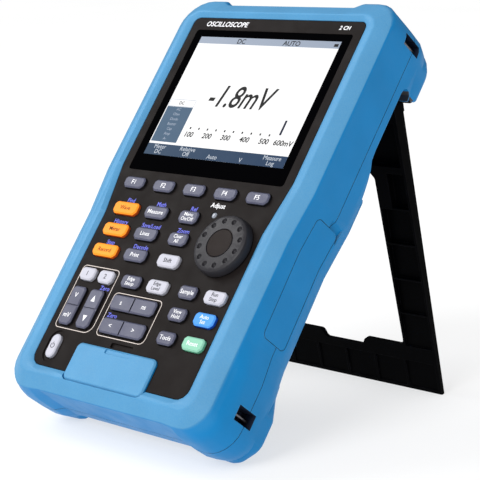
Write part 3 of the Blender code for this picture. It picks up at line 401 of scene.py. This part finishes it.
def paint_knob():
    """The knob has a round disc of a browner plastic let into its top."""
    low, high = face_box("adjust_knob")
    centre = (low + high) / 2
    disc_share = 0.47
    disc = disc_share * (high.x - low.x) / 2
    paint("adjust_knob", knob_plastic)

    def on_disc(middle, normal):
        off = math.hypot(middle.x - centre.x, middle.y - centre.y)
        return normal.z > 0.5 and off < disc

    paint_where("adjust_knob", disc_plastic, on_disc)


def paint_connectors():
    """The two inputs are plated outside and pale insulator round their axis."""
    core = 2.6 * MM
    for name in ("bnc_input_1", "bnc_input_2"):
        paint(name, plated)
        low, high = face_box(name)
        centre = (low + high) / 2

        def on_core(middle, normal):
            return math.hypot(middle.x - centre.x, middle.z - centre.z) < core

        paint_where(name, insulator, on_core)


def paint_slots():
    """The insides of the strap slots are painted a darker blue as shade; each is found from the bar across
    it.
    """
    reach_x, reach_u, past_bar = 6.0 * MM, 4.6 * MM, 0.5 * MM
    wall = 1.5 * MM
    for place in ("upper", "lower"):
        for hand in ("left", "right"):
            low, high = face_box(f"strap_bar_{place}_{hand}")
            centre = (low + high) / 2
            half = Vector((reach_x, reach_u, (high.z - low.z) / 2 + past_bar))

            def in_slot(middle, normal):
                off = middle - centre
                if any(abs(off[i]) > half[i] for i in range(3)):
                    return False
                outside = abs(normal.x) > 0.5 and abs(middle.x) > abs(centre.x) + wall
                return not outside

            for name in ("front_housing", "rear_housing"):
                paint_where(name, slot_shade, in_slot)


def paint_gaps():
    """The edges of the port door and of the joint between the two housings are in deep shade."""
    margin = 1.0 * MM
    low, high = face_box("port_door")
    seam = face_box("front_housing")[0].z

    def at_door(middle, normal):
        along = low.y - margin < middle.y < high.y + margin
        deep = low.z - margin < middle.z < high.z + margin
        return along and deep and middle.x > low.x - margin and abs(normal.x) < 0.3

    def at_seam(middle, normal):
        return abs(normal.z) > 0.95 and abs(middle.z - seam) < margin

    paint_where("port_door", slot_shade, at_door)
    for name in ("front_housing", "rear_housing"):
        paint_where(name, slot_shade, at_door)
        paint_where(name, slot_shade, at_seam)


def paint_notch():
    """The hard inner case shows dark grey inside the notches round the stand's pins."""
    notch_radius = 8.0 * MM
    past_pin = 3.0 * MM
    for hand in ("left", "right"):
        low, high = face_box(f"stand_pin_{hand}")
        centre = (low + high) / 2
        outer = max(abs(low.x), abs(high.x))

        def in_notch(middle, normal):
            near = math.hypot(middle.y - centre.y, middle.z - centre.z) < notch_radius
            inside = outer - notch_radius < abs(middle.x) < outer + past_pin
            same_side = middle.x * centre.x > 0
            return near and inside and same_side and abs(normal.x) < 0.6 and normal.z > -0.2

        paint_where("rear_housing", hinge_grey, in_notch)


def paint_nodes():
    plain = {
        case_rubber: ["front_housing", "rear_housing", "jack_flap", "port_door"],
        panel_plastic: ["keypad_panel"],
        glass_black: ["display_window"],
        steel: ["display_module", "knob_encoder", "usb_port"],
        silicone: ["keypad_mat"],
        circuit: ["main_board"],
        battery_wrap: ["battery_pack"],
        stand_plastic: ["battery_cover", "kickstand", "power_inlet"],
        lamp_lens: ["adjust_lamp"],
    }
    for hand in ("left", "right"):
        plain[steel] += [f"stand_pin_{hand}", f"strap_bar_upper_{hand}", f"strap_bar_lower_{hand}"]
    plain[knob_plastic] = [f"meter_jack_{use}" for use in ("current", "common", "volts")]
    for look, names in plain.items():
        for name in names:
            paint(name, look)
    paint_keys()
    paint_knob()
    paint_connectors()
    paint_slots()
    paint_gaps()
    paint_notch()


JOIN_WITHIN = 0.002 * MM


def smooth_nodes():
    """Shades the moulded curves smoothly and keeps the real edges sharp."""
    for node in NODES.values():
        mesh = node.data
        stored = mesh.attributes.get("custom_normal")
        if stored is not None:
            mesh.attributes.remove(stored)
        mesh.polygons.foreach_set("use_smooth", [True] * len(mesh.polygons))
        weld = node.modifiers.new("join_points", "WELD")
        weld.merge_threshold = JOIN_WITHIN
        split = node.modifiers.new("sharp_edges", "EDGE_SPLIT")
        split.split_angle = SHARP_EDGE
        even = node.modifiers.new("even_shading", "WEIGHTED_NORMAL")
        even.mode = "FACE_AREA_WITH_ANGLE"
        even.weight = 80


# ---------------------------------------------------------------- thin shapes on the face
def rounded(low, high, radii, steps=5):
    """A rounded rectangle; the radii run from the lower right corner round by the upper right."""
    if not isinstance(radii, tuple):
        radii = (radii,) * 4
    corners = [(high[0], low[1]), (high[0], high[1]), (low[0], high[1]), (low[0], low[1])]
    inward = [(-1, 1), (-1, -1), (1, -1), (1, 1)]
    points = []
    for number, (corner, way, radius) in enumerate(zip(corners, inward, radii)):
        centre = (corner[0] + way[0] * radius, corner[1] + way[1] * radius)
        start = math.radians(90 * number - 90)
        for step in range(steps + 1):
            angle = start + math.radians(90) * step / steps
            points.append((centre[0] + radius * math.cos(angle), centre[1] + radius * math.sin(angle)))
    return points


def plate(shape, outline, back, front):
    """A closed flat slab with the given outline."""
    rear = [shape.verts.new((x, u, back)) for x, u in outline]
    top = [shape.verts.new((x, u, front)) for x, u in outline]
    shape.faces.new(list(reversed(rear)))
    shape.faces.new(top)
    count = len(outline)
    for i in range(count):
        j = (i + 1) % count
        shape.faces.new((rear[i], rear[j], top[j], top[i]))


def ring(shape, outer, inner, back, front):
    """A closed flat band between two outlines of equally many points."""
    loops = []
    for outline, out in ((outer, front), (inner, front), (inner, back), (outer, back)):
        loops.append([shape.verts.new((x, u, out)) for x, u in outline])
    count = len(outer)
    for index in range(4):
        here, there = loops[index], loops[(index + 1) % 4]
        for i in range(count):
            j = (i + 1) % count
            shape.faces.new((here[i], here[j], there[j], there[i]))


def arc(shape, centre, radius, width, start, end, back, front, steps=16):
    """A closed flat band along part of a circle, angles in degrees."""
    outer, inner = [], []
    for step in range(steps + 1):
        angle = math.radians(start + (end - start) * step / steps)
        for points, r in ((outer, radius + width / 2), (inner, radius - width / 2)):
            points.append((centre[0] + r * math.cos(angle), centre[1] + r * math.sin(angle)))
    for i in range(steps):
        quad = [outer[i], outer[i + 1], inner[i + 1], inner[i]]
        plate(shape, quad, back, front)


def words(shape, text, at, size, align="CENTER", slant=0.0, bold=0.012, narrow=1.0):
    """Adds lettering lying on the face, middled on a point."""
    curve = bpy.data.curves.new("words", "FONT")
    curve.body = text
    curve.size = size
    curve.shear = slant
    curve.align_x = align
    curve.align_y = "CENTER"
    curve.offset = bold * size
    curve.extrude = PRINT_THICK / 2
    curve.resolution_u = 3
    carrier = bpy.data.objects.new("words", curve)
    bpy.context.scene.collection.objects.link(carrier)
    bpy.context.view_layer.update()
    depsgraph = bpy.context.evaluated_depsgraph_get()
    mesh = bpy.data.meshes.new_from_object(carrier.evaluated_get(depsgraph))
    mesh.transform(Matrix.Diagonal((narrow, 1.0, 1.0, 1.0)))
    mesh.transform(Matrix.Translation((at[0], at[1], at[2] + PRINT_LIFT + PRINT_THICK / 2)))
    shape.from_mesh(mesh)
    bpy.data.objects.remove(carrier)
    bpy.data.curves.remove(curve)
    bpy.data.meshes.remove(mesh)


def piece(name, shape, look, body):
    """Turns a shape made in face coordinates into a piece that moves with a body."""
    bmesh.ops.recalc_face_normals(shape, faces=shape.faces)
    mesh = bpy.data.meshes.new(name)
    shape.to_mesh(mesh)
    shape.free()
    mesh.transform(FACE)
    mesh.materials.append(look.material)
    obj = bpy.data.objects.new(name, mesh)
    bpy.context.scene.collection.objects.link(obj)
    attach(obj, body)
    return obj


# ---------------------------------------------------------------- legends on the keys
KEY_WORDS = {
    "scope_mode_key": "Wave",
    "meter_mode_key": "Meter",
    "recorder_mode_key": "Record",
    "measure_key": "Measure",
    "cursors_key": "Lines",
    "print_key": "Print",
    "menu_key": "Menu\nOn/Off",
    "clear_key": "Clear\nAll",
    "shift_key": "Shift",
    "channel_1_key": "1",
    "channel_2_key": "2",
    "trigger_setup_key": "Edge\nSetup",
    "trigger_level_key": "Edge\nLevel",
    "acquire_key": "Sample",
    "run_stop_key": "Run\nStop",
    "display_key": "View\nHold",
    "auto_key": "Auto\nSet",
    "utility_key": "Tools",
    "default_key": "Reset",
}


def key_legends():
    """The word on each key, in one or two lines."""
    one_line, two_lines, short_word = 3.6 * MM, 3.1 * MM, 4.1 * MM
    line_pitch = 0.92
    inks = {name: ink_brown for name in ORANGE_KEYS}
    inks.update({name: ink_dark for name in WHITE_KEYS})
    labels = dict(KEY_WORDS)
    labels.update({name: f"F{number}" for number, name in enumerate(SOFT_KEYS, 1)})
    for name, text in labels.items():
        low, high = face_box(name)
        middle = (low + high) / 2
        lines = text.split("\n")
        size = one_line if len(lines) == 1 else two_lines
        if len(text) < 3:
            size = short_word
        shape = bmesh.new()
        for number, line in enumerate(lines):
            drop = (number - (len(lines) - 1) / 2) * line_pitch * size
            words(shape, line, (middle.x, middle.y - drop, high.z), size, bold=0.005)
        piece(f"legend_{name}", shape, inks.get(name, ink_white), body_of(name))


def triangle(shape, centre, half, upward, out):
    """A solid arrow head pointing up or down the face."""
    way = 1 if upward else -1
    half_width = 0.85 * half
    tip = (centre[0], centre[1] + way * half)
    base = centre[1] - way * half
    outline = [(centre[0] - half_width, base), (centre[0] + half_width, base), tip]
    if not upward:
        outline.reverse()
    back = out + PRINT_LIFT
    plate(shape, outline, back, back + PRINT_THICK)


def rocker_legends():
    """A mark at each end of a rocker: a word, or an arrow head where it has none."""
    marks = {"volts_rocker": ("V", "mV"), "timebase_rocker": ("s", "ns"), "horizontal_rocker": ("<", ">")}
    reach = 0.52
    size = 4.0 * MM
    arrow_half = 1.9 * MM
    for name in ROCKERS:
        low, high = face_box(name)
        middle = (low + high) / 2
        half = (high - low) / 2
        shape = bmesh.new()
        if half.y > half.x:
            spots = [(middle.x, middle.y + reach * half.y), (middle.x, middle.y - reach * half.y)]
        else:
            spots = [(middle.x - reach * half.x, middle.y), (middle.x + reach * half.x, middle.y)]
        if name in marks:
            for text, spot in zip(marks[name], spots):
                words(shape, text, (*spot, high.z), size, bold=0.008)
        else:
            triangle(shape, spots[0], arrow_half, True, high.z)
            triangle(shape, spots[1], arrow_half, False, high.z)
        piece(f"legend_{name}", shape, ink_white, body_of(name))


def power_mark():
    """An open ring with a bar in its gap."""
    radius, line = 1.45 * MM, 0.4 * MM
    gap_from, gap_to = 55, 125
    bar_foot, bar_top = 0.3 * MM, 2.1 * MM
    low, high = face_box("power_button")
    middle = (low + high) / 2
    back = high.z + PRINT_LIFT
    front = back + PRINT_THICK
    shape = bmesh.new()
    arc(shape, middle, radius, line, gap_to, gap_from + 360, back, front)
    left, right = middle.x - line / 2, middle.x + line / 2
    foot, top = middle.y + bar_foot, middle.y + bar_top
    plate(shape, [(left, top), (left, foot), (right, foot), (right, top)], back, front)
    piece("legend_power_button", shape, ink_dark, body_of("power_button"))


# ---------------------------------------------------------------- print on the panel
SHIFTED_WORDS = {
    "scope_mode_key": "Find",
    "meter_mode_key": "History",
    "recorder_mode_key": "Step",
    "measure_key": "Math",
    "cursors_key": "Save/Load",
    "print_key": "Decode",
    "menu_key": "Ref",
    "clear_key": "Zoom",
    "position_rocker": "Zero",
    "horizontal_rocker": "Zero",
}


def panel_shifted_words():
    """The violet word over a key says what it does after Shift."""
    panel_out = face_box("keypad_panel")[1].z
    size = 3.7 * MM
    above_key = 1.9 * MM
    past_middle = 2.6 * MM
    from_left = 4.4 * MM
    shape = bmesh.new()
    for name, text in SHIFTED_WORDS.items():
        low, high = face_box(name)
        x = (low.x + high.x) / 2
        if name == "position_rocker":
            x += past_middle
        if name == "horizontal_rocker":
            x = low.x + from_left
        words(shape, text, (x, high.y + above_key, panel_out), size, bold=0.016)
    piece("panel_shifted_words", shape, ink_violet, body_of("keypad_panel"))


def panel_outlines():
    """Fine lines round the keys of the channels and of the time base."""
    back = face_box("keypad_panel")[1].z + PRINT_LIFT
    front = back + PRINT_THICK
    line = 0.42 * MM
    channel_keys = ["channel_1_key", "channel_2_key", "volts_rocker", "position_rocker"]
    time_keys = ["timebase_rocker", "horizontal_rocker"]
    radius = 3.0 * MM
    groups = [
        (channel_keys, 1.9 * MM, (2 * radius, radius, radius, radius)),
        (time_keys, 1.7 * MM, (radius + 1.0 * MM, radius, radius, radius)),
    ]
    shape = bmesh.new()
    for names, margin, radii in groups:
        low, high = face_box(*names)
        low, high = (low.x - margin, low.y - margin), (high.x + margin, high.y + margin)
        outer = rounded(low, high, radii)
        inside = ((low[0] + line, low[1] + line), (high[0] - line, high[1] - line))
        inner = rounded(*inside, tuple(corner - line for corner in radii))
        ring(shape, outer, inner, back, front)
    piece("panel_outlines", shape, ink_line, body_of("keypad_panel"))


def panel_white_words():
    """The heading strip above the glass, and the word over the knob's lamp."""
    lamp_low, lamp_high = face_box("adjust_lamp")
    glass_low, glass_high = face_box("display_window")
    panel_high = face_box("keypad_panel")[1]
    out = panel_high.z
    lamp_x = (lamp_low.x + lamp_high.x) / 2
    strip = (glass_high.y + panel_high.y) / 2
    left, right = glass_low.x + 5 * MM, glass_high.x - 4 * MM
    above_lamp = 3.3 * MM
    lean = 0.12
    knob_size, title_size, channels_size = 4.1 * MM, 4.8 * MM, 3.6 * MM
    shape = bmesh.new()
    words(shape, "Adjust", (lamp_x, lamp_high.y + above_lamp, out), knob_size, bold=0.014)
    words(shape, "OSCILLOSCOPE", (left, strip, out), title_size, align="LEFT", slant=lean, bold=0.014)
    words(shape, "2 CH", (right, strip, out), channels_size, align="RIGHT", slant=lean, bold=0.02)
    piece("panel_white_words", shape, ink_white, body_of("keypad_panel"))


# ---------------------------------------------------------------- the lit picture
SCREEN_LAYER = 0.03 * MM
# edges and lines of lettering in the picture, as shares of the lit area's width or height
BAR_FOOT = 0.943
BAR_WORDS = 0.968
MENU_TOP = 0.090
MENU_UPPER, MENU_LOWER = 0.066, 0.026
LIST_LEFT, LIST_MIDDLE, LIST_RIGHT = 0.006, 0.10, 0.198
LIST_FOOT, LIST_TOP = 0.108, 0.400
HEADING_FOOT, HEADING_WORD, HEADING_TOP = 0.402, 0.431, 0.462
SCALE_WORDS, SCALE_FOOT, SCALE_TOP = 0.184, 0.229, 0.2455


class Screen:
    """The lit area on the glass: four wide to three high, a little above the middle of the glass.

    Places on it are shares of its width and height from the lower left corner. A level counts the
    layers of the picture, from the page up.
    """

    def __init__(self):
        low, high = face_box("display_window")
        above_middle = 3.0 * MM
        self.width = 0.903 * (high.x - low.x)
        self.height = 0.75 * self.width
        self.left = (low.x + high.x) / 2 - self.width / 2
        self.foot = (low.y + high.y) / 2 + above_middle - self.height / 2
        self.out = high.z + PRINT_LIFT
        self.body = body_of("display_window")

    def at(self, across, upward):
        return self.left + across * self.width, self.foot + upward * self.height

    def top(self, level):
        return self.out + (level + 1) * SCREEN_LAYER

    def colour(self, name, left, right, glow):
        return lit(name, srgb(left), srgb(right), glow, self.width)

    def block(self, shape, left, bottom, right, top, level):
        low, high = self.at(left, bottom), self.at(right, top)
        outline = [low, (high[0], low[1]), high, (low[0], high[1])]
        plate(shape, outline, self.out, self.top(level))

    def text(self, shape, line, across, upward, size, level, **style):
        words(shape, line, (*self.at(across, upward), self.top(level)), size, **style)


def screen_fields(screen, white, grey, band, listing):
    """The white page with its status bar, menu band and the block behind the list."""
    fields = [
        ("screen_page", white, (0.0, 0.0, 1.0, 1.0), 0),
        ("screen_status_bar", grey, (0.0, BAR_FOOT, 1.0, 1.0), 1),
        ("screen_menu_band", band, (0.0, 0.0, 1.0, MENU_TOP), 1),
        ("screen_list_block", listing, (LIST_LEFT, LIST_FOOT, LIST_RIGHT, LIST_TOP), 1),
    ]
    for name, look, edges, level in fields:
        shape = bmesh.new()
        screen.block(shape, *edges, level)
        piece(name, shape, look, screen.body)


def screen_reading(screen, dark):
    """The large reading, the words in the status bar and the scale of the bar graph."""
    reading_size = 20.5 * MM
    bar_size, scale_size, heading_size = 4.6 * MM, 4.8 * MM, 3.0 * MM
    shape = bmesh.new()
    screen.text(shape, "-1.8mV", 0.49, 0.502, reading_size, 0, slant=0.26, bold=0.010, narrow=0.80)
    screen.text(shape, "DC", 0.314, BAR_WORDS, bar_size, 1)
    screen.text(shape, "AUTO", 0.674, BAR_WORDS, bar_size, 1)

    scale_labels = ["100", "200", "300", "400", "500", "600mV"]
    first_label, label_step, last_shift = 0.258, 0.1345, -0.004
    for number, label in enumerate(scale_labels):
        across = first_label + label_step * number
        if label == scale_labels[-1]:
            across += last_shift
        screen.text(shape, label, across, SCALE_WORDS, scale_size, 0, slant=0.1, bold=0.02)

    first_tick, tick_step, tick_half = 0.251, 0.0627, 0.005
    for number in range(10):
        across = first_tick + tick_step * number
        screen.block(shape, across - tick_half, SCALE_FOOT, across + tick_half, SCALE_TOP, 1)

    screen.text(shape, "DC", LIST_MIDDLE, HEADING_WORD, heading_size, 1)
    battery_mark = (0.962, 0.957, 0.990, 0.980)
    screen.block(shape, *battery_mark, 2)
    piece("screen_dark_words", shape, dark, screen.body)


def screen_level_mark(screen, mark):
    """The pointer that stands on the bar graph's scale."""
    pointer = (0.876, 0.245, 0.890, 0.360)
    shape = bmesh.new()
    screen.block(shape, *pointer, 1)
    piece("screen_level_mark", shape, mark, screen.body)


def screen_list(screen, grey):
    """The list of measurements at the left of the picture."""
    size = 2.6 * MM
    first_line, line_step = 0.378, 0.0405
    shape = bmesh.new()
    for number, line in enumerate(("AC", "Ohm", "Diode", "Buzzer", "Cap", "Amp", "A-")):
        upward = first_line - line_step * number
        screen.text(shape, line, LIST_MIDDLE, upward, size, 1, bold=0.0)
    piece("screen_list_words", shape, grey, screen.body)


def screen_menu(screen, pale):
    """What each soft key does: its name over its present setting."""
    size = 3.9 * MM
    pairs = [
        ("Meter", "DC", 0.098),
        ("Relative", "Off", 0.306),
        ("", "Auto", 0.50),
        ("", "V", 0.70),
        ("Measure", "Log", 0.905),
    ]
    shape = bmesh.new()
    for upper, lower, across in pairs:
        if upper:
            screen.text(shape, upper, across, MENU_UPPER, size, 1, bold=0.0)
        screen.text(shape, lower, across, MENU_LOWER, size, 1, bold=0.0)
    piece("screen_pale_words", shape, pale, screen.body)


def screen_list_heading(screen, grey):
    """The fine frame round the list's heading."""
    inset, outer_radius = 0.25 * MM, 0.5 * MM
    inner_radius = outer_radius - inset
    low, high = screen.at(LIST_LEFT, HEADING_FOOT), screen.at(LIST_RIGHT, HEADING_TOP)
    inside = ((low[0] + inset, low[1] + inset), (high[0] - inset, high[1] - inset))
    outer, inner = rounded(low, high, outer_radius), rounded(*inside, inner_radius)
    shape = bmesh.new()
    ring(shape, outer, inner, screen.out, screen.top(1))
    piece("screen_list_heading", shape, grey, screen.body)


def screen_picture():
    """The instrument as a meter: one large reading over a scale, with a list and a menu."""
    screen = Screen()
    white = screen.colour("screen_white", "FFFFFF", "FFFFFF", 1.05)
    grey = screen.colour("screen_bar", "A9B4C6", "9DA9BC", 1.0)
    band = screen.colour("screen_menu", "2F4964", "15375A", 1.0)
    listing = screen.colour("screen_list", "4C6781", "3E5872", 1.0)
    dark = screen.colour("screen_dark", "06070A", "06070A", 0.3)
    pale = screen.colour("screen_pale", "D8E0EA", "D8E0EA", 0.9)
    mark = screen.colour("screen_mark", "0E1C3C", "0E1C3C", 0.8)
    screen_fields(screen, white, grey, band, listing)
    screen_reading(screen, dark)
    screen_level_mark(screen, mark)
    screen_list(screen, grey)
    screen_menu(screen, pale)
    screen_list_heading(screen, grey)


# ---------------------------------------------------------------- floor, light and camera
def floor():
    """A wide pale floor that gives off light, so that it blends into the surround."""
    darker, lighter = (0.38, 0.38, 0.38, 1.0), (0.40, 0.40, 0.40, 1.0)
    look = Shader("pale_floor")
    cloud = look.noise(1.3, 3.0)
    tone = look.mix(look.span(cloud, 0.3, 0.7, 0.0, 1.0), darker, lighter)
    look.set(Base_Color=tone, Roughness=look.span(cloud, 0.3, 0.7, 0.7, 0.8))
    look.set(Emission_Color=(1.0, 1.0, 1.0, 1.0), Emission_Strength=0.62, Specular_IOR_Level=0.0)
    shape = bmesh.new()
    bmesh.ops.create_circle(shape, cap_ends=True, segments=64, radius=FLOOR_RADIUS)
    mesh = bpy.data.meshes.new("floor")
    shape.to_mesh(mesh)
    shape.free()
    mesh.materials.append(look.material)
    ground = bpy.data.objects.new("floor", mesh)
    bpy.context.scene.collection.objects.link(ground)
    ground.location.z = cad_box[0].z


def hang_lamp(name, lamp, azimuth, elevation, distance):
    """Aims a lamp at the middle of the instrument, from the place of a view of it."""
    middle = (cad_box[0] + cad_box[1]) / 2
    side = math.radians(azimuth)
    rise = math.radians(elevation)
    back = Vector((math.sin(side) * math.cos(rise), -math.cos(side) * math.cos(rise), math.sin(rise)))
    holder = bpy.data.objects.new(name, lamp)
    bpy.context.scene.collection.objects.link(holder)
    holder.location = middle + distance * back
    holder.rotation_mode = "QUATERNION"
    holder.rotation_quaternion = (-back).to_track_quat("-Z", "Y")


def sun(azimuth, elevation, softness, power):
    """Daylight from a wide patch of sky."""
    lamp = bpy.data.lights.new("sun", "SUN")
    lamp.angle = math.radians(softness)
    lamp.energy = power
    hang_lamp("sun", lamp, azimuth, elevation, 1.0)


def soft_light(name, azimuth, elevation, distance, size, power):
    """A round area light."""
    lamp = bpy.data.lights.new(name, "AREA")
    lamp.shape = "DISK"
    lamp.size = size
    lamp.energy = power
    hang_lamp(name, lamp, azimuth, elevation, distance)


def world(strength, glossy_strength):
    """An even white surround, dimmer in reflections so that dark plastic stays dark."""
    sky = bpy.data.worlds.new("studio")
    bpy.context.scene.world = sky
    sky.use_nodes = True
    tree = sky.node_tree
    background = tree.nodes["Background"]
    path = tree.nodes.new("ShaderNodeLightPath")
    level = strength
    for ray, value in (("Is Glossy Ray", glossy_strength), ("Is Camera Ray", 1.0)):
        choose = tree.nodes.new("ShaderNodeMix")
        tree.links.new(path.outputs[ray], choose.inputs[0])
        if isinstance(level, float):
            choose.inputs[2].default_value = level
        else:
            tree.links.new(level, choose.inputs[2])
        choose.inputs[3].default_value = value
        level = choose.outputs[0]
    tree.links.new(level, background.inputs["Strength"])
    background.inputs["Color"].default_value = (1.0, 1.0, 1.0, 1.0)


def camera():
    """The camera stands off to the right of the face, below its middle, and looks up it.

    Its place, the way it looks and the way to its right are in face coordinates.
    """
    place = Vector((636.5, -332.7, 580.1)) * MM
    ahead = Vector((-0.6815, 0.2894, -0.6721))
    across = Vector((0.7232, 0.4068, -0.5581))
    turn = FACE.to_3x3()
    back = -(turn @ ahead).normalized()
    right = (turn @ across).normalized()
    right = (right - back * right.dot(back)).normalized()
    data = bpy.data.cameras.new("camera")
    data.lens = 121.9
    data.sensor_width = 36.0
    data.clip_start = 0.01
    data.clip_end = 200.0
    eye = bpy.data.objects.new("camera", data)
    bpy.context.scene.collection.objects.link(eye)
    axes = Matrix((right, back.cross(right), back)).transposed()
    eye.matrix_world = Matrix.Translation(FACE @ place) @ axes.to_4x4()
    bpy.context.scene.camera = eye


smooth_nodes()
paint_nodes()
key_legends()
rocker_legends()
power_mark()
panel_shifted_words()
panel_outlines()
panel_white_words()
screen_picture()
floor()
world(strength=0.62, glossy_strength=0.18)
sun(azimuth=4.0, elevation=36.0, softness=30.0, power=1.9)
soft_light("gloss_light", azimuth=-62.4, elevation=39.8, distance=2.0, size=1.2, power=18.0)
camera()
bpy.context.scene.view_settings.view_transform = "Standard"
